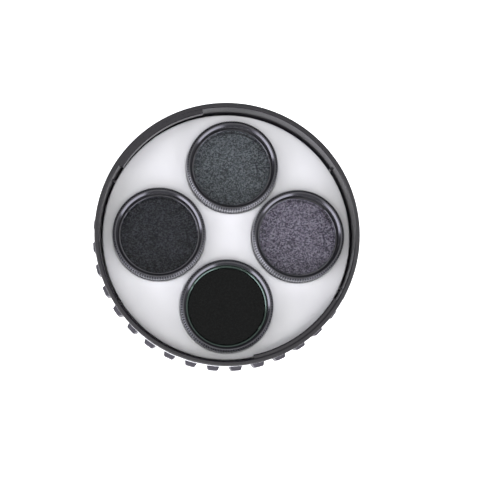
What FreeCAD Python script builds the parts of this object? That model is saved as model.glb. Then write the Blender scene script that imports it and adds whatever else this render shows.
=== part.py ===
import FreeCAD, Part
import math
import os

# Round twist-lock case holding four small screw-in lens filters in a moulded tray.
# Millimetres, +Z up. The origin is on the case's axis, on the plane that it stands on.

# Filter frames: a knurled body with a threaded spigot below it. The knurl has about half the
# real count of teeth. The spigot is wider than the bore by the thread that screws into it.
frame_radius = 15.7
frame_wall = 1.95
frame_body_height = 6.8
frame_body_sink = 1.7
frame_top_chamfer = 0.7
knurl_teeth = 80
knurl_depth = 0.25
knurl_margin = 0.75
knurl_land = 0.05
thread_depth = 0.2
spigot_height = 2.4
mouth_chamfer = 0.7
seat_width = 0.75
seat_thickness = 0.6

# Glass discs and the slotted rings that hold them down.
glass_thickness = 1.6
glass_play = 0.1
retainer_height = 1.2
retainer_width = 0.65
retainer_play = 0.05
retainer_bevel = 0.3
notch_width = 1.2
notch_depth = 0.6
notch_count = 2

# How each filter lies in its pocket, and how its retaining ring is turned, lightest glass first.
filter_slides = ((-0.24, 0.48), (0.5, -0.05), (0.08, -0.2), (-0.2, -0.25))
retainer_turns = (48.0, 16.0, 143.0, 147.0)

# Moulded tray and its ring of pockets, which is set a little off the case's axis.
pocket_play = 0.6
pocket_web = 1.0
pocket_margin = 2.19
pocket_turn = -1.7
pocket_shift_x = 0.6
pocket_shift_y = -0.3
pocket_edge = 0.25
spigot_play = 0.75
cup_wall = 1.2
cup_floor = 1.2
tray_gap = 0.6
tray_plate = 1.4
tray_skirt_wall = 1.0
tray_edge = 0.3

# Soft pads on the pocket floors.
pad_thickness = 1.0
pad_play = 0.2
pad_headroom = 0.3

# Case: overall height, the well above the tray, the charcoal lip and the liner that runs down from it.
case_height = 24.0
well_depth = 8.5
rim_wall = 1.65
rim_band_height = 4.0
rim_edge = 0.4
liner_wall = 0.6
liner_below_tray = 3.0

# Bayonet lugs and small ribs inside the lip.
lug_count = 2
lug_reach = 1.3
lug_height = 2.6
lug_sink = 0.3
lug_span = 46.5
lug_angle = 124.6
rib_proud = 0.75
rib_width = 0.9
rib_sink = 3.5
rib_above_tray = 0.4
rib_after_lug = 6.5
rib_before_lug = 69.0

# White outer shell.
shell_wall = 1.0
shell_floor = 1.6
shell_inner_bevel = 0.8
shell_edge = 0.3
shell_fit = 0.05

# Rubber foot ring with the grip blocks.
foot_height = 1.2
foot_width = 6.0
foot_edge = 0.4
grip_count = 36
grip_turn = 4.0
grip_proud = 1.5
grip_height = 10.3
grip_root_width = 4.4
grip_tip_width = 3.2
grip_edge = 0.3
grip_root_depth = 0.6
bond_gap = 0.03

# Radii and counts that follow from the sizes above, from the filters outward.
pocket_count = len(filter_slides)
core_radius = frame_radius - knurl_depth - knurl_land
bore_radius = frame_radius - frame_wall
spigot_radius = bore_radius + thread_depth
aperture_radius = bore_radius - seat_width
pocket_radius = frame_radius + pocket_play
spigot_bore_radius = spigot_radius + spigot_play
pocket_pitch_radius = (pocket_radius + pocket_web / 2) / math.sin(math.pi / pocket_count)
tray_radius = pocket_pitch_radius + pocket_radius + pocket_margin
rim_inner_radius = tray_radius + tray_gap
rim_outer_radius = rim_inner_radius + rim_wall
liner_outer_radius = rim_inner_radius + liner_wall
shell_inner_radius = liner_outer_radius + shell_fit
shell_outer_radius = shell_inner_radius + shell_wall

# Levels that follow from the sizes above, from the lip down to the pads and up to the frames' tops.
shell_top = case_height - rim_band_height
floor_top = foot_height + shell_floor
tray_top = case_height - well_depth
shoulder_level = tray_top - frame_body_sink
pad_top = shoulder_level - spigot_height - pad_headroom
pad_bottom = pad_top - pad_thickness
glass_bottom = shoulder_level + seat_thickness
glass_top = glass_bottom + glass_thickness
frame_top = shoulder_level + frame_body_height

AXIS = FreeCAD.Vector(0, 0, 1)
ORIGIN = FreeCAD.Vector(0, 0, 0)
SAME = 1e-4


def turned(outline, angle=360.0):
    """Solid of revolution about Z from a closed outline of (radius, height) corners."""
    corners = [FreeCAD.Vector(radius, 0, height) for radius, height in outline]
    face = Part.Face(Part.makePolygon(corners + corners[:1]))
    return face.revolve(ORIGIN, AXIS, angle)


def cylinder(radius, low, high):
    """Upright cylinder about Z between two heights."""
    return Part.makeCylinder(radius, high - low, FreeCAD.Vector(0, 0, low))


def about_axis(shape, angle):
    """Copy of a shape turned about Z."""
    copy = shape.copy()
    copy.rotate(ORIGIN, AXIS, angle)
    return copy


def moved(shape, x, y):
    """Copy of a shape slid over the XY plane."""
    copy = shape.copy()
    copy.translate(FreeCAD.Vector(x, y, 0))
    return copy


def pocket_centre(index):
    """Centre of one pocket; the first lies towards +X and the rest follow anticlockwise."""
    angle = math.radians(pocket_turn + index * 360.0 / pocket_count)
    x = pocket_shift_x + pocket_pitch_radius * math.cos(angle)
    y = pocket_shift_y + pocket_pitch_radius * math.sin(angle)
    return x, y


def outer_shell():
    """White tub: a thin wall on a flat floor, with a bevelled inside corner."""
    return turned([
        (0, foot_height),
        (shell_outer_radius, foot_height),
        (shell_outer_radius, shell_top - shell_edge),
        (shell_outer_radius - shell_edge, shell_top),
        (shell_inner_radius, shell_top),
        (shell_inner_radius, floor_top + shell_inner_bevel),
        (shell_inner_radius - shell_inner_bevel, floor_top),
        (0, floor_top),
    ])


def bayonet_lug():
    """Flat sector that stands inward from the lip, centred on +X."""
    root = rim_inner_radius + rim_wall / 2
    tip = rim_inner_radius - lug_reach
    top = case_height - lug_sink
    bottom = top - lug_height
    sector = turned([(tip, bottom), (root, bottom), (root, top), (tip, top)], lug_span)
    return about_axis(sector, -lug_span / 2)


def liner_rib():
    """Small upright rib on the liner's inner face, on +X."""
    root = rim_inner_radius + liner_wall / 2
    tip = rim_inner_radius - rib_proud
    low = tray_top + rib_above_tray
    high = case_height - rib_sink
    corner = FreeCAD.Vector(tip, -rib_width / 2, low)
    return Part.makeBox(root - tip, rib_width, high - low, corner)


def bayonet_ring():
    """Charcoal lip that sits on the shell, its liner, the lugs for the lid and the ribs beside them."""
    ring = turned([
        (rim_inner_radius, tray_top - liner_below_tray),
        (liner_outer_radius, tray_top - liner_below_tray),
        (liner_outer_radius, shell_top),
        (rim_outer_radius, shell_top),
        (rim_outer_radius, case_height - rim_edge),
        (rim_outer_radius - rim_edge, case_height),
        (rim_inner_radius + rim_edge, case_height),
        (rim_inner_radius, case_height - rim_edge),
    ])
    for index in range(lug_count):
        centre = lug_angle + index * 360.0 / lug_count
        after = centre + lug_span / 2 + rib_after_lug
        before = centre - lug_span / 2 - rib_before_lug
        ring = ring.fuse(about_axis(bayonet_lug(), centre))
        ring = ring.fuse(about_axis(liner_rib(), after))
        ring = ring.fuse(about_axis(liner_rib(), before))
    return ring.removeSplitter()


def grip_block():
    """One grip block on +X: tapered sides, bevelled outer corners and a bevelled top."""
    root = shell_outer_radius - grip_root_depth
    tip = shell_outer_radius + grip_proud
    outline = [
        FreeCAD.Vector(root, -grip_root_width / 2, 0),
        FreeCAD.Vector(tip, -grip_tip_width / 2, 0),
        FreeCAD.Vector(tip, grip_tip_width / 2, 0),
        FreeCAD.Vector(root, grip_root_width / 2, 0),
    ]
    face = Part.Face(Part.makePolygon(outline + outline[:1]))
    block = face.extrude(FreeCAD.Vector(0, 0, grip_height))
    outer_edges = []
    for edge in block.Edges:
        box = edge.BoundBox
        upright_or_top = box.ZLength > grip_height / 2 or box.ZMin > grip_height / 2
        if box.XMin > tip - SAME and upright_or_top:
            outer_edges.append(edge)
    block = block.makeChamfer(grip_edge, outer_edges)
    return block.cut(cylinder(shell_outer_radius + bond_gap, foot_height, case_height))


def grip_ring():
    """Rubber foot ring under the shell, with the grip blocks rising from it."""
    foot = turned([
        (shell_outer_radius - foot_width, foot_edge),
        (shell_outer_radius - foot_width + foot_edge, 0),
        (shell_outer_radius, 0),
        (shell_outer_radius, foot_height),
        (shell_outer_radius - foot_width, foot_height),
    ])
    block = grip_block()
    blocks = [about_axis(block, grip_turn + index * 360.0 / grip_count) for index in range(grip_count)]
    return foot.multiFuse(blocks).removeSplitter()


def tray():
    """White insert: a plate on a skirt, with four stepped cups for the filters."""
    skirt_inner = tray_radius - tray_skirt_wall
    cap = turned([
        (0, tray_top - tray_plate),
        (skirt_inner, tray_top - tray_plate),
        (skirt_inner, floor_top),
        (tray_radius, floor_top),
        (tray_radius, tray_top - tray_edge),
        (tray_radius - tray_edge, tray_top),
        (0, tray_top),
    ])
    cup_bottom = pad_bottom - cup_floor
    cup = turned([
        (0, cup_bottom),
        (spigot_bore_radius + cup_wall, cup_bottom),
        (spigot_bore_radius + cup_wall, shoulder_level - cup_floor),
        (pocket_radius + cup_wall, shoulder_level - cup_floor),
        (pocket_radius + cup_wall, tray_top - tray_plate / 2),
        (0, tray_top - tray_plate / 2),
    ])
    pocket = turned([
        (0, pad_bottom),
        (spigot_bore_radius, pad_bottom),
        (spigot_bore_radius, shoulder_level),
        (pocket_radius, shoulder_level),
        (pocket_radius, tray_top - pocket_edge),
        (pocket_radius + pocket_edge, tray_top),
        (pocket_radius + pocket_edge, case_height),
        (0, case_height),
    ])
    envelope = cylinder(tray_radius - tray_skirt_wall / 2, 0, case_height)
    centres = [pocket_centre(index) for index in range(pocket_count)]
    cups = [moved(cup, x, y).common(envelope) for x, y in centres]
    body = cap.multiFuse(cups)
    for x, y in centres:
        body = body.cut(moved(pocket, x, y))
    return body.removeSplitter()


def pad():
    """Soft round pad for a pocket floor."""
    return cylinder(spigot_bore_radius - pad_play, pad_bottom, pad_top)


def filter_frame():
    """Knurled filter frame: chamfered mouth, bore for glass and ring, seat, and spigot below."""
    core = turned([
        (aperture_radius, shoulder_level - spigot_height),
        (spigot_radius, shoulder_level - spigot_height),
        (spigot_radius, shoulder_level),
        (core_radius, shoulder_level),
        (core_radius, frame_top - frame_top_chamfer),
        (core_radius - frame_top_chamfer, frame_top),
        (bore_radius + mouth_chamfer, frame_top),
        (bore_radius, frame_top - mouth_chamfer),
        (bore_radius, glass_bottom),
        (aperture_radius, glass_bottom),
    ])
    corners = []
    for index in range(2 * knurl_teeth):
        radius = frame_radius - knurl_depth * (index % 2)
        angle = math.pi * index / knurl_teeth
        corners.append(FreeCAD.Vector(radius * math.cos(angle), radius * math.sin(angle), 0))
    teeth = Part.Face(Part.makePolygon(corners + corners[:1]))
    band = teeth.extrude(FreeCAD.Vector(0, 0, frame_body_height - 2 * knurl_margin))
    band.translate(FreeCAD.Vector(0, 0, shoulder_level + knurl_margin))
    band = band.cut(cylinder((core_radius + bore_radius) / 2, shoulder_level, frame_top))
    return core.fuse(band).removeSplitter()


def filter_glass():
    """Flat glass disc."""
    return cylinder(bore_radius - glass_play, glass_bottom, glass_top)


def retaining_ring():
    """Ring that holds the glass on its seat, with a bevelled bore and two spanner notches on X."""
    outer = bore_radius - retainer_play
    inner = outer - retainer_width
    top = glass_top + retainer_height
    ring = turned([
        (inner, glass_top),
        (outer, glass_top),
        (outer, top),
        (inner + retainer_bevel, top),
        (inner, top - retainer_bevel),
    ])
    corner = FreeCAD.Vector(inner - retainer_width, -notch_width / 2, top - notch_depth)
    notch = Part.makeBox(3 * retainer_width, notch_width, 2 * notch_depth, corner)
    for index in range(notch_count):
        ring = ring.cut(about_axis(notch, index * 360.0 / notch_count))
    return ring


os.makedirs("parts", exist_ok=True)

case_pieces = {
    "grip_ring": grip_ring(),
    "outer_shell": outer_shell(),
    "bayonet_ring": bayonet_ring(),
    "tray": tray(),
}
for name, shape in case_pieces.items():
    shape.exportStep("parts/" + name + ".step")

pad_shape = pad()
frame_shape = filter_frame()
glass_shape = filter_glass()
retainer_shape = retaining_ring()
for index in range(pocket_count):
    x, y = pocket_centre(index)
    slide_x, slide_y = filter_slides[index]
    label = str(index + 1)
    moved(pad_shape, x, y).exportStep("parts/pad_" + label + ".step")
    turned_retainer = about_axis(retainer_shape, retainer_turns[index])
    filter_pieces = {"frame": frame_shape, "glass": glass_shape, "retainer": turned_retainer}
    for piece, shape in filter_pieces.items():
        placed = moved(shape, x + slide_x, y + slide_y)
        placed.exportStep("parts/filter_" + label + "_" + piece + ".step")
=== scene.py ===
import math

import bmesh
import bpy
from mathutils import Matrix, Vector, noise


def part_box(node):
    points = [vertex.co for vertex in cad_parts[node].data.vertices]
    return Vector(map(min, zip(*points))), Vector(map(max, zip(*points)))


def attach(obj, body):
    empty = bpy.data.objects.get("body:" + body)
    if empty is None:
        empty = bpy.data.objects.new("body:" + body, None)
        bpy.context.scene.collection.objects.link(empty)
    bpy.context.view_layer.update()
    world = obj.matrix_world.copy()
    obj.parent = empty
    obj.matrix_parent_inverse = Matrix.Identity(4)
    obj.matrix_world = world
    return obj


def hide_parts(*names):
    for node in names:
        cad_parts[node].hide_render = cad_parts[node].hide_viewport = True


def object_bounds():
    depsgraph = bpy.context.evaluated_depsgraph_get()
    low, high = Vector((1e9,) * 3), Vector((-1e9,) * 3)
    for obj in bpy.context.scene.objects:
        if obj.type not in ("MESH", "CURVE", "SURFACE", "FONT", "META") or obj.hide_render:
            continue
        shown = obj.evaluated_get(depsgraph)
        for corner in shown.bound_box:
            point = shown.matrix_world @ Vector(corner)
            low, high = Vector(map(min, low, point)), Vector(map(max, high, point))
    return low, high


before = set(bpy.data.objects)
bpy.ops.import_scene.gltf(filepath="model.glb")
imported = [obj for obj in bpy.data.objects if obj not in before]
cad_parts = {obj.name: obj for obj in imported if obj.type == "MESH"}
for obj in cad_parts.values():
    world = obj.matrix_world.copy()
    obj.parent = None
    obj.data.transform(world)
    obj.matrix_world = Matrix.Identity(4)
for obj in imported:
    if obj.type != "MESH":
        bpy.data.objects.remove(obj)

cad_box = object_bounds()

# Outer shell: the white tub that holds everything, a thin round wall on a flat floor.
# It is injection moulded in white polypropylene, from a mould polished to a soft gloss.
# The charcoal lip is pressed into its mouth and the rubber foot ring is bonded under it.
mm = 0.001
shell_low, shell_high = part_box("outer_shell")
shell_radius = shell_high.x
shell_wall = 1.0 * mm
shell_floor = 1.6 * mm
shell_inner_round = 1.0 * mm
shell_edge_round = 0.3 * mm
moulded_crease = 35.0
shell_white = "#F0F0F2"
shell_milk = "#E6E6EA"
flow_cloud = 7.0 * mm
skin_grain = 0.5 * mm


def linear(colour):
    """Linear RGBA from an sRGB hex colour."""
    shares = [int(colour[start:start + 2], 16) / 255 for start in (1, 3, 5)]
    return [c / 12.92 if c <= 0.04045 else ((c + 0.055) / 1.055) ** 2.4 for c in shares] + [1.0]


def add(tree, kind, sockets, **settings):
    """Shader node with its settings; a socket given another node's output is linked, and else is set."""
    node = tree.nodes.new(kind)
    for name, value in settings.items():
        setattr(node, name, value)
    for name, value in sockets.items():
        if isinstance(value, bpy.types.NodeSocket):
            tree.links.new(value, node.inputs[name])
        else:
            node.inputs[name].default_value = value
    return node


def start_material(name):
    """Empty node material, its tree, and the surface position in the piece's own metres."""
    material = bpy.data.materials.new(name)
    material.use_nodes = True
    tree = material.node_tree
    tree.nodes.clear()
    position = add(tree, "ShaderNodeTexCoord", {}).outputs["Object"]
    return material, tree, position


def eased(corners, steps=5):
    """Outline through (radius, height, rounding) corners, with a short curve at each rounded one.

    A point just beside each end of a curve keeps the flats next to it evenly shaded.
    """
    beside = 0.02 * mm
    points = []
    for index, (radius, height, rounding) in enumerate(corners):
        here = Vector((radius, height))
        if rounding == 0:
            points.append(here)
            continue
        before = Vector(corners[index - 1][:2]) - here
        after = Vector(corners[(index + 1) % len(corners)][:2]) - here
        reach = rounding / math.tan(before.angle(after) / 2)
        start = here + before.normalized() * reach
        end = here + after.normalized() * reach
        points.append(start + before.normalized() * beside)
        for step in range(steps + 1):
            share = step / steps
            points.append(start.lerp(here, share).lerp(here.lerp(end, share), share))
        points.append(end + after.normalized() * beside)
    return points


def turned(outline, steps=288, start=0.0, span=math.tau):
    """Mesh turned about Z from a closed (radius, height) outline; less than a full turn gets end faces."""
    mesh = bmesh.new()
    whole = span >= math.tau
    columns = steps if whole else steps + 1
    angles = [start + span * column / steps for column in range(columns)]
    rings = []
    for radius, height in outline:
        if radius == 0:
            ring = [mesh.verts.new((0, 0, height))] * columns
        else:
            ring = [mesh.verts.new((radius * math.cos(a), radius * math.sin(a), height)) for a in angles]
        rings.append(ring)
    for ring, after in zip(rings, rings[1:] + rings[:1]):
        for column in range(steps):
            following = (column + 1) % columns
            corners = (ring[column], ring[following], after[following], after[column])
            corners = list(dict.fromkeys(corners))
            if len(corners) > 2:
                mesh.faces.new(corners)
    if not whole:
        mesh.faces.new([ring[0] for ring in rings])
        mesh.faces.new([ring[-1] for ring in rings])
    bmesh.ops.recalc_face_normals(mesh, faces=mesh.faces)
    return mesh


def made(name, mesh, material, crease=moulded_crease):
    """Object from a mesh, shaded smooth up to the crease angle in degrees."""
    data = bpy.data.meshes.new(name)
    mesh.to_mesh(data)
    mesh.free()
    data.shade_smooth()
    data.set_sharp_from_angle(angle=math.radians(crease))
    data.materials.append(material)
    thing = bpy.data.objects.new(name, data)
    bpy.context.scene.collection.objects.link(thing)
    return thing


# Polypropylene from a polished mould: milky white, softly glossy, with faint flow clouds and a fine skin.
polypropylene, tree, position = start_material("white_moulded_polypropylene")
cloud = add(tree, "ShaderNodeTexNoise", {"Vector": position, "Scale": 1 / flow_cloud, "Detail": 3.0})
skin = add(tree, "ShaderNodeTexNoise", {"Vector": position, "Scale": 1 / skin_grain, "Detail": 2.0})
milk = add(tree, "ShaderNodeMixRGB", {
    "Fac": cloud.outputs["Fac"], "Color1": linear(shell_white), "Color2": linear(shell_milk)})
gloss = add(tree, "ShaderNodeMapRange", {"Value": cloud.outputs["Fac"], "To Min": 0.3, "To Max": 0.42})
dimple = add(tree, "ShaderNodeBump", {
    "Height": skin.outputs["Fac"], "Strength": 0.15, "Distance": 0.03 * mm})
finish = add(tree, "ShaderNodeBsdfPrincipled", {
    "Base Color": milk.outputs["Color"], "Roughness": gloss.outputs["Result"],
    "Normal": dimple.outputs["Normal"], "IOR": 1.49})
add(tree, "ShaderNodeOutputMaterial", {"Surface": finish.outputs["BSDF"]})

shell_inner = shell_radius - shell_wall
shell_outline = eased([
    (0, shell_low.z, 0),
    (shell_radius, shell_low.z, shell_edge_round),
    (shell_radius, shell_high.z, shell_edge_round),
    (shell_inner, shell_high.z, 0),
    (shell_inner, shell_low.z + shell_floor, shell_inner_round),
    (0, shell_low.z + shell_floor, 0),
])
shell = made("shell_tub", turned(shell_outline), polypropylene)
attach(shell, "case")
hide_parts("outer_shell")

# Grip ring: a dark foot ring under the tub with 36 blocks standing up its wall, for a firm twist.
# It is one moulding in thermoplastic rubber, bonded to the tub, with well rounded blocks.
foot_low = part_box("grip_ring")[0].z
grip_count = 36
grip_turn = math.radians(4.0)
grip_tip = 46.0 * mm
grip_top = 10.3 * mm
grip_root_width = 4.4 * mm
grip_tip_width = 3.2 * mm
grip_sink = 0.25 * mm
grip_round = 0.42 * mm
foot_width = 6.0 * mm
foot_round = 0.4 * mm
rubber_dark = "#2B292F"
rubber_light = "#403D45"
rubber_grain = 0.25 * mm
dust_patch = 2.5 * mm


def merged(thing, other, operation):
    """Boolean of one piece with another, which is used up."""
    change = thing.modifiers.new(operation.lower(), "BOOLEAN")
    change.operation = operation
    change.solver = "EXACT"
    change.object = other
    depsgraph = bpy.context.evaluated_depsgraph_get()
    data = bpy.data.meshes.new_from_object(thing.evaluated_get(depsgraph))
    data.set_sharp_from_angle(angle=math.radians(moulded_crease))
    thing.modifiers.clear()
    old, thing.data = thing.data, data
    data.name = thing.name
    bpy.data.meshes.remove(old)
    bpy.data.meshes.remove(other.data)


def placed_round(mesh, angles):
    """Copies of a mesh turned about Z to each angle, as one mesh."""
    ring = bmesh.new()
    single = bpy.data.meshes.new("single")
    mesh.to_mesh(single)
    mesh.free()
    for angle in angles:
        known = len(ring.verts)
        ring.from_mesh(single)
        ring.verts.ensure_lookup_table()
        turn = Matrix.Rotation(angle, 3, "Z")
        bmesh.ops.rotate(ring, cent=(0, 0, 0), matrix=turn, verts=ring.verts[known:])
    bpy.data.meshes.remove(single)
    return ring


def prism(outline, low, high):
    """Upright block with the given (x, y) outline between two heights."""
    block = bmesh.new()
    floor = [block.verts.new((x, y, low)) for x, y in outline]
    roof = [block.verts.new((x, y, high)) for x, y in outline]
    block.faces.new(floor)
    block.faces.new(roof)
    for index in range(len(outline)):
        block.faces.new((floor[index - 1], floor[index], roof[index], roof[index - 1]))
    bmesh.ops.recalc_face_normals(block, faces=block.faces)
    return block


def softened(block, rounding, chosen=None):
    """Rounds the chosen edges of a block, or all of them, and keeps the flats between evenly shaded."""
    edges = [edge for edge in block.edges if chosen is None or chosen(edge)]
    bevel = bmesh.ops.bevel(
        block, geom=edges, offset=rounding, segments=3, profile=0.5, affect="EDGES")
    curved = set(bevel["faces"])
    flats = [face for face in block.faces if face not in curved]
    bmesh.ops.inset_individual(block, faces=flats, thickness=rounding / 10)
    return block


# Thermoplastic rubber: dull dark grey, dusty where it is handled, with a fine matt grain.
rubber, tree, position = start_material("dark_thermoplastic_rubber")
grain = add(tree, "ShaderNodeTexNoise", {"Vector": position, "Scale": 1 / rubber_grain, "Detail": 3.0})
dust = add(tree, "ShaderNodeTexNoise", {"Vector": position, "Scale": 1 / dust_patch, "Detail": 4.0})
shade = add(tree, "ShaderNodeMixRGB", {
    "Fac": dust.outputs["Fac"], "Color1": linear(rubber_dark), "Color2": linear(rubber_light)})
matt = add(tree, "ShaderNodeMapRange", {"Value": dust.outputs["Fac"], "To Min": 0.5, "To Max": 0.7})
pits = add(tree, "ShaderNodeBump", {
    "Height": grain.outputs["Fac"], "Strength": 0.3, "Distance": 0.04 * mm})
finish = add(tree, "ShaderNodeBsdfPrincipled", {
    "Base Color": shade.outputs["Color"], "Roughness": matt.outputs["Result"],
    "Normal": pits.outputs["Normal"], "IOR": 1.5, "Sheen Weight": 0.1})
add(tree, "ShaderNodeOutputMaterial", {"Surface": finish.outputs["BSDF"]})

foot_inner = shell_radius - foot_width
foot_outline = eased([
    (foot_inner, foot_low, foot_round),
    (shell_radius, foot_low, foot_round),
    (shell_radius, shell_low.z, 0),
    (foot_inner, shell_low.z, 0),
])
grips = made("grip_ring_rubber", turned(foot_outline), rubber)
block_root = shell_radius - grip_sink
block_outline = [
    (block_root, -grip_root_width / 2),
    (grip_tip, -grip_tip_width / 2),
    (grip_tip, grip_tip_width / 2),
    (block_root, grip_root_width / 2),
]


def off_the_root(edge):
    """Whether an edge of a grip block is clear of the two lower corners at its root."""
    return all(vertex.co.x > block_root or vertex.co.z > foot_low for vertex in edge.verts)


block = softened(prism(block_outline, foot_low, grip_top), grip_round, off_the_root)
block_angles = [grip_turn + math.tau * index / grip_count for index in range(grip_count)]
blocks = made("grip_blocks", placed_round(block, block_angles), rubber)
merged(grips, blocks, "UNION")
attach(grips, "case")
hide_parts("grip_ring")

# Bayonet ring: the charcoal lip of the tub, with a liner that runs down inside the wall.
# It is moulded in ABS from a lightly blasted mould and pressed into the tub.
# Two flat lugs inside the lip catch the lid, and four low ribs by the tray stop its turn.
rim_low, rim_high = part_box("bayonet_ring")
rim_radius = rim_high.x
rim_wall = 1.65 * mm
rim_outer_round = 0.35 * mm
rim_under_round = 0.1 * mm
edge_chamfer = 0.4 * mm
edge_chamfer_drop = 0.22 * mm
edge_round = 0.08 * mm
liner_wall = 0.6 * mm
lug_reach = 1.3 * mm
lug_height = 2.6 * mm
lug_sink = 0.3 * mm
lug_round = 0.35 * mm
lug_span = math.radians(46.5)
lug_angle = math.radians(124.6)
rib_proud = 0.75 * mm
rib_width = 0.9 * mm
rib_round = 0.15 * mm
rib_top_sink = 6.0 * mm
rib_height = 2.1 * mm
rib_after_lug = math.radians(6.5)
rib_before_lug = math.radians(69.0)
charcoal_dark = "#161418"
charcoal_light = "#211F24"
blasted_grain = 0.3 * mm
wear_patch = 5.0 * mm

# Lightly blasted ABS: charcoal with a violet cast and an even gloss over a faint grain.
# The grain is drawn coarser than the blasting leaves it, so that it is not lost between pixels.
charcoal_abs, tree, position = start_material("charcoal_blasted_abs")
blasted = add(tree, "ShaderNodeTexNoise", {"Vector": position, "Scale": 1 / blasted_grain, "Detail": 4.0})
wear = add(tree, "ShaderNodeTexNoise", {"Vector": position, "Scale": 1 / wear_patch, "Detail": 5.0})
shade = add(tree, "ShaderNodeMixRGB", {
    "Fac": wear.outputs["Fac"], "Color1": linear(charcoal_dark), "Color2": linear(charcoal_light)})
gloss = add(tree, "ShaderNodeMapRange", {"Value": wear.outputs["Fac"], "To Min": 0.16, "To Max": 0.24})
pits = add(tree, "ShaderNodeBump", {
    "Height": blasted.outputs["Fac"], "Strength": 0.05, "Distance": 0.01 * mm})
finish = add(tree, "ShaderNodeBsdfPrincipled", {
    "Base Color": shade.outputs["Color"], "Roughness": gloss.outputs["Result"],
    "Normal": pits.outputs["Normal"], "IOR": 1.54})
add(tree, "ShaderNodeOutputMaterial", {"Surface": finish.outputs["BSDF"]})

rim_inner = rim_radius - rim_wall
rim_outline = eased([
    (rim_inner, rim_low.z, 0),
    (rim_inner + liner_wall, rim_low.z, 0),
    (rim_inner + liner_wall, shell_high.z, 0),
    (rim_radius, shell_high.z, rim_under_round),
    (rim_radius, rim_high.z, rim_outer_round),
    (rim_inner + edge_chamfer, rim_high.z, edge_round),
    (rim_inner, rim_high.z - edge_chamfer_drop, edge_round),
])
rim = made("bayonet_lip", turned(rim_outline, steps=360), charcoal_abs)
lug_top = rim_high.z - lug_sink
lug_tip = rim_inner - lug_reach
lug_root = rim_inner + rim_wall / 2
lug_outline = eased([
    (lug_tip, lug_top - lug_height, lug_round),
    (lug_root, lug_top - lug_height, 0),
    (lug_root, lug_top, 0),
    (lug_tip + edge_chamfer, lug_top, edge_round),
    (lug_tip, lug_top - edge_chamfer_drop, edge_round),
])
rib_tip = rim_inner - rib_proud
rib_root = rim_inner + liner_wall / 2
rib_outline = [
    (rib_tip, -rib_width / 2),
    (rib_root, -rib_width / 2),
    (rib_root, rib_width / 2),
    (rib_tip, rib_width / 2),
]
rib_top = rim_high.z - rib_top_sink
lug_turns = [lug_angle, lug_angle + math.pi]
rib_turns = []
for turn in lug_turns:
    rib_turns.append(turn + lug_span / 2 + rib_after_lug)
    rib_turns.append(turn - lug_span / 2 - rib_before_lug)
lug = turned(lug_outline, steps=48, start=-lug_span / 2, span=lug_span)
lugs = made("lugs", placed_round(lug, lug_turns), charcoal_abs)
rib = softened(prism(rib_outline, rib_top - rib_height, rib_top), rib_round)
ribs = made("ribs", placed_round(rib, rib_turns), charcoal_abs)
merged(rim, lugs, "UNION")
merged(rim, ribs, "UNION")
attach(rim, "case")
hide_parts("bayonet_ring")

# Tray: the white insert that carries the filters, a plate on a skirt with four stepped cups.
# It is moulded in ABS with a fine satin texture and drops loose into the tub.
# Each cup's mouth is cut close round its filter where that lies, so no gap shows from above.
tray_low, tray_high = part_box("tray")
tray_radius = (tray_high.x - tray_low.x) / 2
tray_plate = 1.4 * mm
tray_skirt = 1.0 * mm
tray_edge_round = 0.3 * mm
pocket_radius = 16.3 * mm
mouth_play = 0.2 * mm
mouth_round = 0.15 * mm
mouth_cut_rim = 0.45 * mm
spigot_bore = 14.7 * mm
cup_wall = 1.2 * mm
cup_floor = 1.2 * mm
shoulder_level = 13.8 * mm
satin_white = "#EAEAEB"
satin_shade = "#E2E2E4"
tray_cloud = 9.0 * mm
satin_grain = 0.35 * mm
light_depth = 2.0 * mm

# Satin ABS: clean white, evenly dulled by a fine texture. Light sinks in a little and softens the shadows.
# The texture is drawn about a pixel wide, coarser than a real satin one, so that it shows.
satin_abs, tree, position = start_material("white_satin_abs")
cloud = add(tree, "ShaderNodeTexNoise", {"Vector": position, "Scale": 1 / tray_cloud, "Detail": 3.0})
texture = add(tree, "ShaderNodeTexNoise", {"Vector": position, "Scale": 1 / satin_grain, "Detail": 3.0})
shade = add(tree, "ShaderNodeMixRGB", {
    "Fac": cloud.outputs["Fac"], "Color1": linear(satin_white), "Color2": linear(satin_shade)})
gloss = add(tree, "ShaderNodeMapRange", {"Value": texture.outputs["Fac"], "To Min": 0.48, "To Max": 0.6})
grain = add(tree, "ShaderNodeBump", {
    "Height": texture.outputs["Fac"], "Strength": 0.12, "Distance": 0.02 * mm})
finish = add(tree, "ShaderNodeBsdfPrincipled", {
    "Base Color": shade.outputs["Color"], "Roughness": gloss.outputs["Result"],
    "Normal": grain.outputs["Normal"], "IOR": 1.52,
    "Subsurface Weight": 1.0, "Subsurface Radius": (1.0, 1.0, 1.0), "Subsurface Scale": light_depth})
add(tree, "ShaderNodeOutputMaterial", {"Surface": finish.outputs["BSDF"]})

pad_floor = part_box("pad_1")[0].z
skirt_inner = tray_radius - tray_skirt
tray_outline = eased([
    (0, tray_high.z - tray_plate, 0),
    (skirt_inner, tray_high.z - tray_plate, 0),
    (skirt_inner, tray_low.z, 0),
    (tray_radius, tray_low.z, 0),
    (tray_radius, tray_high.z, tray_edge_round),
    (0, tray_high.z, 0),
])
cup_outline = [
    (0, pad_floor - cup_floor),
    (spigot_bore + cup_wall, pad_floor - cup_floor),
    (spigot_bore + cup_wall, shoulder_level - cup_floor),
    (pocket_radius + cup_wall, shoulder_level - cup_floor),
    (pocket_radius + cup_wall, tray_high.z - tray_plate / 2),
    (0, tray_high.z - tray_plate / 2),
]
bore_outline = [
    (0, pad_floor),
    (spigot_bore, pad_floor),
    (spigot_bore, shoulder_level + tray_plate / 2),
    (0, shoulder_level + tray_plate / 2),
]
frame_low, frame_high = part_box("filter_1_frame")
frame_radius = (frame_high.x - frame_low.x) / 2
mouth_radius = frame_radius + mouth_play
above_tray = tray_high.z + tray_plate
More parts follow.
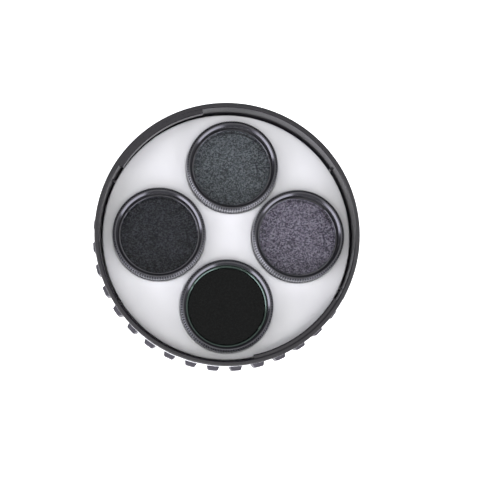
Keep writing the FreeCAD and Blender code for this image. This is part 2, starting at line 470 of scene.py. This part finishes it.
mouth_outline = eased([
    (0, shoulder_level, 0),
    (mouth_radius, shoulder_level, 0),
    (mouth_radius, tray_high.z, mouth_round),
    (mouth_radius + mouth_cut_rim, tray_high.z, 0),
    (mouth_radius + mouth_cut_rim, above_tray, 0),
    (0, above_tray, 0),
])


def middle(node):
    """Middle of the box of a CAD node."""
    low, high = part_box(node)
    return (low + high) / 2


def turned_at(centre, outline, steps):
    """Mesh turned from an outline about an upright axis through a centre."""
    mesh = turned(outline, steps=steps)
    bmesh.ops.translate(mesh, vec=(centre.x, centre.y, 0), verts=mesh.verts)
    return mesh


filter_numbers = (1, 2, 3, 4)
pocket_centres = [middle(f"pad_{number}") for number in filter_numbers]
filter_centres = [middle(f"filter_{number}_frame") for number in filter_numbers]
tray = made("filter_tray", turned(tray_outline, steps=360), satin_abs)
for centre in pocket_centres:
    merged(tray, made("cup", turned_at(centre, cup_outline, steps=192), satin_abs), "UNION")
for pocket_centre, filter_centre in zip(pocket_centres, filter_centres):
    merged(tray, made("bore", turned_at(pocket_centre, bore_outline, steps=192), satin_abs), "DIFFERENCE")
    merged(tray, made("mouth", turned_at(filter_centre, mouth_outline, steps=256), satin_abs), "DIFFERENCE")
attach(tray, "case")
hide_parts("tray")

# Pads: four round pads of open-cell foam on the pocket floors, under the filters.
# They are die cut from a thin sheet and lie loose; their rough cells show through the glass.
pad_round = 0.25 * mm
pad_cell = 0.35 * mm
pad_relief = 0.09 * mm
foam_light = "#FFFFFF"
# Painted shade for the darker foam cells.
foam_painted_shade = "#5E5C60"
sheet_patch = 4.0 * mm
patch_share = 0.4
painted_sparkle_power = 1.75

# Open-cell foam: pale and without gloss. The grain is painted light and shade: each cell is painted its own
# brightness, from a grey painted shade up to a white painted sparkle.
# The cells are drawn about as wide as a pixel, as a finer foam would blend into an even grey.
foam, tree, position = start_material("pale_open_cell_foam")
cells = add(tree, "ShaderNodeTexVoronoi", {"Vector": position, "Scale": 1 / pad_cell})
lit = add(tree, "ShaderNodeSeparateXYZ", {"Vector": cells.outputs["Color"]})
sheet = add(tree, "ShaderNodeTexNoise", {"Vector": position, "Scale": 1 / sheet_patch, "Detail": 3.0})
patch = add(tree, "ShaderNodeMath", {
    0: sheet.outputs["Fac"], 1: patch_share, 2: lit.outputs["X"]}, operation="MULTIPLY_ADD")
contrast = add(tree, "ShaderNodeMapRange", {
    "Value": patch.outputs["Value"], "From Min": 0.1, "From Max": 1.15})
# Painted sparkle: the brightest cells are pushed towards white as painted glints.
painted_sparkle = add(tree, "ShaderNodeMath", {
    0: contrast.outputs["Result"], 1: painted_sparkle_power}, operation="POWER")
shade = add(tree, "ShaderNodeMixRGB", {
    "Fac": painted_sparkle.outputs["Value"], "Color1": linear(foam_painted_shade), "Color2": linear(foam_light)})
pores = add(tree, "ShaderNodeBump", {
    "Height": lit.outputs["X"], "Strength": 0.6, "Distance": 0.1 * mm})
finish = add(tree, "ShaderNodeBsdfPrincipled", {
    "Base Color": shade.outputs["Color"], "Roughness": 0.9, "Normal": pores.outputs["Normal"]})
add(tree, "ShaderNodeOutputMaterial", {"Surface": finish.outputs["BSDF"]})

for number, centre in enumerate(pocket_centres, start=1):
    low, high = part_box(f"pad_{number}")
    radius = (high.x - low.x) / 2
    top = high.z - pad_relief
    rings = int(radius / pad_cell)
    corners = [(0, low.z, 0), (radius, low.z, 0), (radius, top, pad_round)]
    corners += [(radius * ring / rings, top, 0) for ring in range(rings - 2, -1, -1)]
    disc = turned(eased(corners), steps=224)
    for vertex in disc.verts:
        if vertex.co.z > top - pad_round / 2:
            vertex.co.z += pad_relief * noise.noise(vertex.co / pad_cell + Vector((0, 0, number)))
    bmesh.ops.translate(disc, vec=(0, 0, -low.z), verts=disc.verts)
    pad = made(f"foam_pad_{number}", disc, foam, crease=60.0)
    pad.location = (centre.x, centre.y, low.z)
    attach(pad, "case")
    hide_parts(f"pad_{number}")

# Filter frames: knurled rings with a threaded mouth above and a threaded spigot below.
# They are turned from aluminium bar, knurled, screw-cut and dyed black by anodising.
# The knurl is kept coarse enough for its teeth to show.
frame_wall = 1.95 * mm
frame_top_chamfer = 0.85 * mm
frame_top_drop = 0.58 * mm
frame_foot_chamfer = 0.3 * mm
frame_edge_round = 0.06 * mm
knurl_teeth = 112
steps_per_tooth = 4
knurl_depth = 0.22 * mm
knurl_margin = 0.35 * mm
knurl_run_out = 0.25 * mm
knurl_up_chamfer = 0.9
knurl_dulling = 0.35
thread_pitch = 0.6 * mm
thread_depth = 0.2 * mm
mouth_chamfer = 0.7 * mm
mouth_drop = 0.46 * mm
seat_width = 0.75 * mm
seat_thickness = 0.6 * mm
anodised_dark = "#25242B"
anodised_light = "#34333B"
# Pale colours of the knurl on the wall: rubbed metal, and a painted reflection of the white tray.
wall_crest_worn_and_painted_reflection = "#D4D4D8"
wall_groove_painted_reflection_and_shade = "#74747A"
dyed_crest = "#828288"
# Near-black painted shade for the grooves on the chamfer, darker than the dye itself.
dyed_groove_painted_shade = "#08080A"
wall_reflection_blend = 0.1 * mm
tool_mark = 0.08 * mm
dye_patch = 3.0 * mm

# Black anodised aluminium: dark metal under a clear, glossy oxide skin, with fine rings left by the tool.
# The knurl's wall is painted pale, partly as rubbed bare metal and partly as a painted reflection of the
# white tray, and stays darker on the chamfer above.
anodised, tree, position = start_material("black_anodised_aluminium")
apart = add(tree, "ShaderNodeSeparateXYZ", {"Vector": position})
across = add(tree, "ShaderNodeCombineXYZ", {"X": apart.outputs["X"], "Y": apart.outputs["Y"]})
radial = add(tree, "ShaderNodeVectorMath", {"Vector": across.outputs["Vector"]}, operation="LENGTH")
section = add(tree, "ShaderNodeCombineXYZ", {"X": radial.outputs["Value"], "Y": apart.outputs["Z"]})
marks = add(tree, "ShaderNodeTexNoise", {
    "Vector": section.outputs["Vector"], "Scale": 1 / tool_mark, "Detail": 2.0})
dye = add(tree, "ShaderNodeTexNoise", {"Vector": position, "Scale": 1 / dye_patch, "Detail": 4.0})
plain_shade = add(tree, "ShaderNodeMixRGB", {
    "Fac": dye.outputs["Fac"], "Color1": linear(anodised_dark), "Color2": linear(anodised_light)})
bearing = add(tree, "ShaderNodeMath", {
    0: apart.outputs["Y"], 1: apart.outputs["X"]}, operation="ARCTAN2")
teeth = add(tree, "ShaderNodeMath", {
    0: bearing.outputs["Value"], 1: knurl_teeth / math.tau}, operation="MULTIPLY")
off_crest = add(tree, "ShaderNodeMath", {0: teeth.outputs["Value"], 1: 0.5}, operation="PINGPONG")
# Share from crest to groove: crests keep their rubbed metal, and grooves are painted darker as painted
# shade in the knurl.
groove_shade_and_wear_share = add(tree, "ShaderNodeMapRange", {
    "Value": off_crest.outputs["Value"], "From Min": 0.1, "From Max": 0.32})
wall_tooth_painted_reflection = add(tree, "ShaderNodeMixRGB", {
    "Fac": groove_shade_and_wear_share.outputs["Result"], "Color1": linear(wall_crest_worn_and_painted_reflection), "Color2": linear(wall_groove_painted_reflection_and_shade)})
chamfer_tooth_painted_groove_shade = add(tree, "ShaderNodeMixRGB", {
    "Fac": groove_shade_and_wear_share.outputs["Result"], "Color1": linear(dyed_crest), "Color2": linear(dyed_groove_painted_shade)})
chamfer_foot = frame_high.z - frame_low.z - frame_top_drop
# Mask from the wall, painted pale as a reflection, up to the darker chamfer.
above_wall = add(tree, "ShaderNodeMapRange", {
    "Value": apart.outputs["Z"],
    "From Min": chamfer_foot - wall_reflection_blend, "From Max": chamfer_foot + wall_reflection_blend})
knurl_wear_and_painted_light = add(tree, "ShaderNodeMixRGB", {
    "Fac": above_wall.outputs["Result"], "Color1": wall_tooth_painted_reflection.outputs["Color"],
    "Color2": chamfer_tooth_painted_groove_shade.outputs["Color"]})
knurled = add(tree, "ShaderNodeMapRange", {
    "Value": radial.outputs["Value"],
    "From Min": frame_radius - frame_top_chamfer, "From Max": frame_radius - frame_top_chamfer * 2 / 3})
shade = add(tree, "ShaderNodeMixRGB", {
    "Fac": knurled.outputs["Result"], "Color1": plain_shade.outputs["Color"],
    "Color2": knurl_wear_and_painted_light.outputs["Color"]})
satin = add(tree, "ShaderNodeMapRange", {"Value": marks.outputs["Fac"], "To Min": 0.14, "To Max": 0.24})
pressed = add(tree, "ShaderNodeMath", {
    0: knurled.outputs["Result"], 1: knurl_dulling}, operation="MULTIPLY")
gloss = add(tree, "ShaderNodeMath", {
    0: satin.outputs["Result"], 1: pressed.outputs["Value"]}, operation="ADD")
lines = add(tree, "ShaderNodeBump", {
    "Height": marks.outputs["Fac"], "Strength": 0.15, "Distance": 0.01 * mm})
finish = add(tree, "ShaderNodeBsdfPrincipled", {
    "Base Color": shade.outputs["Color"], "Roughness": gloss.outputs["Value"],
    "Normal": lines.outputs["Normal"], "Metallic": 0.85,
    "Coat Weight": 0.8, "Coat Roughness": 0.15, "Coat IOR": 1.77})
add(tree, "ShaderNodeOutputMaterial", {"Surface": finish.outputs["BSDF"]})

bore = frame_radius - frame_wall
aperture = bore - seat_width
spigot = bore + thread_depth
glass_bed = shoulder_level + seat_thickness
mouth_floor = frame_high.z - mouth_drop
knurl_root = frame_radius - knurl_depth
knurl_low = shoulder_level + knurl_margin
knurl_high = frame_high.z - frame_top_drop


def thread(radius, depth, low, high):
    """Points of a screw thread's V grooves on a wall, from the low end to the high one."""
    turns = int((high - low) / thread_pitch)
    points = []
    for turn in range(turns):
        level = low + turn * thread_pitch
        points.append((radius, level, 0))
        points.append((radius, level + thread_pitch / 8, 0))
        points.append((radius + depth, level + thread_pitch / 2, 0))
        points.append((radius, level + thread_pitch * 7 / 8, 0))
    return points


frame_corners = [
    (aperture, frame_low.z, frame_edge_round),
    (spigot - thread_depth, frame_low.z, frame_edge_round),
]
frame_corners += thread(spigot, -thread_depth, frame_low.z + thread_pitch / 2, shoulder_level)
frame_corners += [
    (spigot, shoulder_level, 0),
    (knurl_root - frame_foot_chamfer, shoulder_level, frame_edge_round),
    (knurl_root, shoulder_level + frame_foot_chamfer, frame_edge_round),
    (knurl_root, knurl_low, 0),
    (frame_radius, knurl_low + knurl_run_out, 0),
    (frame_radius, knurl_high, 0),
    (frame_radius - frame_top_chamfer / 3, knurl_high + frame_top_drop / 3, 0),
    (frame_radius - frame_top_chamfer * 2 / 3, knurl_high + frame_top_drop * 2 / 3, 0),
    (frame_radius - frame_top_chamfer, frame_high.z, frame_edge_round),
    (bore + mouth_chamfer, frame_high.z, frame_edge_round),
    (bore, mouth_floor, frame_edge_round),
]
frame_corners += reversed(thread(bore, thread_depth, glass_bed + 2 * thread_pitch, mouth_floor))
frame_corners += [
    (bore, glass_bed, 0),
    (aperture, glass_bed, frame_edge_round),
]
for number, centre in enumerate(filter_centres, start=1):
    body = turned(eased(frame_corners, steps=3), steps=knurl_teeth * steps_per_tooth)
    for vertex in body.verts:
        reach = vertex.co.xy.length
        inward = (frame_radius - reach) / frame_top_chamfer
        if inward < knurl_up_chamfer and vertex.co.z > knurl_low + knurl_run_out / 2:
            angle = math.atan2(vertex.co.y, vertex.co.x)
            phase = (angle / math.tau * knurl_teeth) % 1.0
            groove = (1 - abs(2 * phase - 1)) * (1 - inward)
            vertex.co.xy *= 1 - groove * knurl_depth / reach
    bmesh.ops.translate(body, vec=(0, 0, -frame_low.z), verts=body.verts)
    ring = made(f"knurled_frame_{number}", body, anodised, crease=28.0)
    ring.location = (centre.x, centre.y, frame_low.z)
    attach(ring, f"filter_{number}")
    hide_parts(f"filter_{number}_frame")

# Glass discs: four flat discs of tinted optical glass in four densities, lightest first.
# They are ground, polished and coated, with a small bevel, and lie on the frames' seats.
glass_bevel = 0.85 * mm
glass_bevel_drop = 0.5 * mm
glass_foot_bevel = 0.15 * mm
glass_tints = ("#D6D2DE", "#BDC2C6", "#8E9096", "#3A3A3A")
glass_fades = ("#CECAD6", "#B5BABE", "#86888E", "#363636")
coating = "#9C9E9E"
haze_patch = 4.0 * mm
glass_low, glass_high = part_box("filter_1_glass")
glass_radius = (glass_high.x - glass_low.x) / 2
glass_outline = [
    (0, glass_low.z),
    (glass_radius - glass_foot_bevel, glass_low.z),
    (glass_radius, glass_low.z + glass_foot_bevel),
    (glass_radius, glass_high.z - glass_bevel_drop),
    (glass_radius - glass_bevel, glass_high.z),
    (0, glass_high.z),
]

for number, (tint, fade) in enumerate(zip(glass_tints, glass_fades), start=1):
    # Coated optical glass: clear and smooth, grey in depth, with a trace of dust that dulls the polish.
    # The coating takes away about two thirds of what bare glass would mirror.
    glass, tree, position = start_material(f"tinted_optical_glass_{number}")
    haze = add(tree, "ShaderNodeTexNoise", {"Vector": position, "Scale": 1 / haze_patch, "Detail": 5.0})
    polish = add(tree, "ShaderNodeMapRange", {"Value": haze.outputs["Fac"], "To Min": 0.0, "To Max": 0.03})
    depth = add(tree, "ShaderNodeMixRGB", {
        "Fac": haze.outputs["Fac"], "Color1": linear(tint), "Color2": linear(fade)})
    finish = add(tree, "ShaderNodeBsdfPrincipled", {
        "Base Color": depth.outputs["Color"], "Roughness": polish.outputs["Result"],
        "IOR": 1.5, "Transmission Weight": 1.0, "Specular Tint": linear(coating)})
    add(tree, "ShaderNodeOutputMaterial", {"Surface": finish.outputs["BSDF"]})
    centre = middle(f"filter_{number}_glass")
    disc = made(f"glass_disc_{number}", turned(glass_outline, steps=192), glass, crease=15.0)
    disc.location = (centre.x, centre.y, 0)
    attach(disc, f"filter_{number}")
    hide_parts(f"filter_{number}_glass")

# Retaining rings: thin slotted rings that screw down on the glass and hold it on its seat.
# They are turned from aluminium; three are dyed black and one is coloured a faint green-grey.
# Two notches in each take the pins of a spanner.
retainer_low, retainer_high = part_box("filter_1_retainer")
retainer_outer = (retainer_high.x - retainer_low.x) / 2
retainer_width = 0.65 * mm
retainer_round = 0.05 * mm
retainer_inner = retainer_outer - retainer_width
notch_width = 1.2 * mm
notch_depth = 0.6 * mm
bevel_slope = 0.66
retainer_turns = (48.0, 16.0, 143.0, 147.0)
retainer_bevels = (0.12 * mm, 0.12 * mm, 0.12 * mm, 0.3 * mm)
green_dark = "#434F4A"
green_light = "#55645D"
tinge_patch = 2.0 * mm

# Green-tinged aluminium: the ring of the darkest filter, coloured green-grey all over, so that its bevel
# glints green.
green_tinged, tree, position = start_material("green_tinged_aluminium")
tinge = add(tree, "ShaderNodeTexNoise", {"Vector": position, "Scale": 1 / tinge_patch, "Detail": 3.0})
tone = add(tree, "ShaderNodeMixRGB", {
    "Fac": tinge.outputs["Fac"], "Color1": linear(green_dark), "Color2": linear(green_light)})
gloss = add(tree, "ShaderNodeMapRange", {"Value": tinge.outputs["Fac"], "To Min": 0.14, "To Max": 0.24})
finish = add(tree, "ShaderNodeBsdfPrincipled", {
    "Base Color": tone.outputs["Color"], "Roughness": gloss.outputs["Result"], "Metallic": 0.85})
add(tree, "ShaderNodeOutputMaterial", {"Surface": finish.outputs["BSDF"]})

retainer_metals = (anodised, anodised, anodised, green_tinged)
notch_outline = [
    (retainer_inner - notch_width, -notch_width / 2),
    (retainer_outer + notch_width, -notch_width / 2),
    (retainer_outer + notch_width, notch_width / 2),
    (retainer_inner - notch_width, notch_width / 2),
]
retainer_kinds = zip(retainer_turns, retainer_bevels, retainer_metals)
for number, (turn, bevel, metal) in enumerate(retainer_kinds, start=1):
    retainer_outline = eased([
        (retainer_inner, retainer_low.z, 0),
        (retainer_outer, retainer_low.z, 0),
        (retainer_outer, retainer_high.z, retainer_round),
        (retainer_inner + bevel, retainer_high.z, retainer_round),
        (retainer_inner, retainer_high.z - bevel * bevel_slope, retainer_round),
    ])
    retainer = made(f"retaining_ring_{number}", turned(retainer_outline, steps=192), metal)
    notch = prism(notch_outline, retainer_high.z - notch_depth, retainer_high.z + notch_depth)
    notches = made("notches", placed_round(notch, [0.0, math.pi]), metal)
    merged(retainer, notches, "DIFFERENCE")
    centre = middle(f"filter_{number}_retainer")
    retainer.location = (centre.x, centre.y, 0)
    retainer.rotation_euler.z = math.radians(turn)
    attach(retainer, f"filter_{number}")
    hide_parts(f"filter_{number}_retainer")

# Studio: a white paper floor that glows like an overexposed ground, five soft boxes and a grey room.
# Two boxes stand low in front, one hangs above in front and two high at the sides; the ceiling is bright.
# The camera stands where the photograph was taken from, nearly straight above.
floor_half = 3.0
floor_gap = 0.05 * mm
floor_glow = 0.9
floor_white = "#FFFFFF"
paper_fibre = 1.0 * mm
floor_mesh = bmesh.new()
bmesh.ops.create_grid(floor_mesh, x_segments=1, y_segments=1, size=floor_half)

# White paper: flat white without gloss, with a faint fibre in its dullness.
paper, tree, position = start_material("white_paper")
fibre = add(tree, "ShaderNodeTexNoise", {"Vector": position, "Scale": 1 / paper_fibre, "Detail": 2.0})
matt = add(tree, "ShaderNodeMapRange", {"Value": fibre.outputs["Fac"], "To Min": 0.85, "To Max": 0.95})
finish = add(tree, "ShaderNodeBsdfPrincipled", {
    "Base Color": linear(floor_white), "Roughness": matt.outputs["Result"],
    "Emission Color": linear(floor_white), "Emission Strength": floor_glow})
add(tree, "ShaderNodeOutputMaterial", {"Surface": finish.outputs["BSDF"]})
floor = made("paper_floor", floor_mesh, paper)
floor.location.z = cad_box[0].z - floor_gap

# Each soft box has its place, its width and depth, its power in watts and the colour of its light.
rim_top = Vector((0, 0, rim_high.z))
cool_light = "#F4F3FF"
plain_light = "#FFFFFF"
soft_boxes = {
    "low_box_left": ((-0.495, -0.231, 0.34), (0.6, 0.22), 2.2, cool_light),
    "low_box_right": ((0.386, -0.386, 0.34), (0.5, 0.22), 1.5, cool_light),
    "top_box": ((-0.03, -0.2, 0.6), (0.26, 0.2), 0.95, plain_light),
    "side_box_left": ((-0.34, 0.0, 0.55), (0.25, 0.4), 0.8, plain_light),
    "side_box_right": ((0.36, 0.0, 0.55), (0.25, 0.4), 0.64, plain_light),
}
for name, (place, size, watts, colour) in soft_boxes.items():
    lamp = bpy.data.lights.new(name, "AREA")
    lamp.shape = "RECTANGLE"
    lamp.size, lamp.size_y = size
    lamp.energy = watts
    lamp.color = linear(colour)[:3]
    soft_box = bpy.data.objects.new(name, lamp)
    soft_box.location = place
    soft_box.rotation_euler = (rim_top - Vector(place)).to_track_quat("-Z", "Y").to_euler()
    bpy.context.scene.collection.objects.link(soft_box)

front_light = "#B4B4B8"
back_light = "#5C5C60"
ceiling_light = "#FFFFFF"
ceiling_starts = 0.85
ceiling_full = 0.98
front_to_back = 0.5
room_strength = 1.0
world = bpy.data.worlds.new("studio_room")
world.use_nodes = True
tree = world.node_tree
tree.nodes.clear()
outward = add(tree, "ShaderNodeTexCoord", {}).outputs["Generated"]
bearings = add(tree, "ShaderNodeSeparateXYZ", {"Vector": outward})
rise = add(tree, "ShaderNodeMapRange", {
    "Value": bearings.outputs["Z"], "From Min": ceiling_starts, "From Max": ceiling_full},
    interpolation_type="SMOOTHSTEP")
depth = add(tree, "ShaderNodeMapRange", {
    "Value": bearings.outputs["Y"], "From Min": -front_to_back, "From Max": front_to_back})
walls = add(tree, "ShaderNodeMixRGB", {
    "Fac": depth.outputs["Result"], "Color1": linear(front_light), "Color2": linear(back_light)})
glow = add(tree, "ShaderNodeMixRGB", {
    "Fac": rise.outputs["Result"], "Color1": walls.outputs["Color"], "Color2": linear(ceiling_light)})
room = add(tree, "ShaderNodeBackground", {"Color": glow.outputs["Color"], "Strength": room_strength})
add(tree, "ShaderNodeOutputWorld", {"Surface": room.outputs["Background"]})
bpy.context.scene.world = world
bpy.context.scene.view_settings.view_transform = "Standard"

view_tilt = math.radians(-7.6)
view_lean = math.radians(3.4)
view_offset = Vector((-3.99, 2.62, -350.0)) * mm
focal_pixels = 1047.2
image_pixels = 480
nearest_seen = 0.01
camera_data = bpy.data.cameras.new("camera")
camera_data.lens = camera_data.sensor_width * focal_pixels / image_pixels
camera_data.clip_start = nearest_seen
camera = bpy.data.objects.new("camera", camera_data)
seen_from = Matrix.Rotation(view_lean, 4, "Y") @ Matrix.Rotation(view_tilt, 4, "X")
seen_from = Matrix.Translation(view_offset) @ seen_from
camera.matrix_world = Matrix.Translation(rim_top) @ seen_from.inverted()
bpy.context.scene.collection.objects.link(camera)
bpy.context.scene.camera = camera
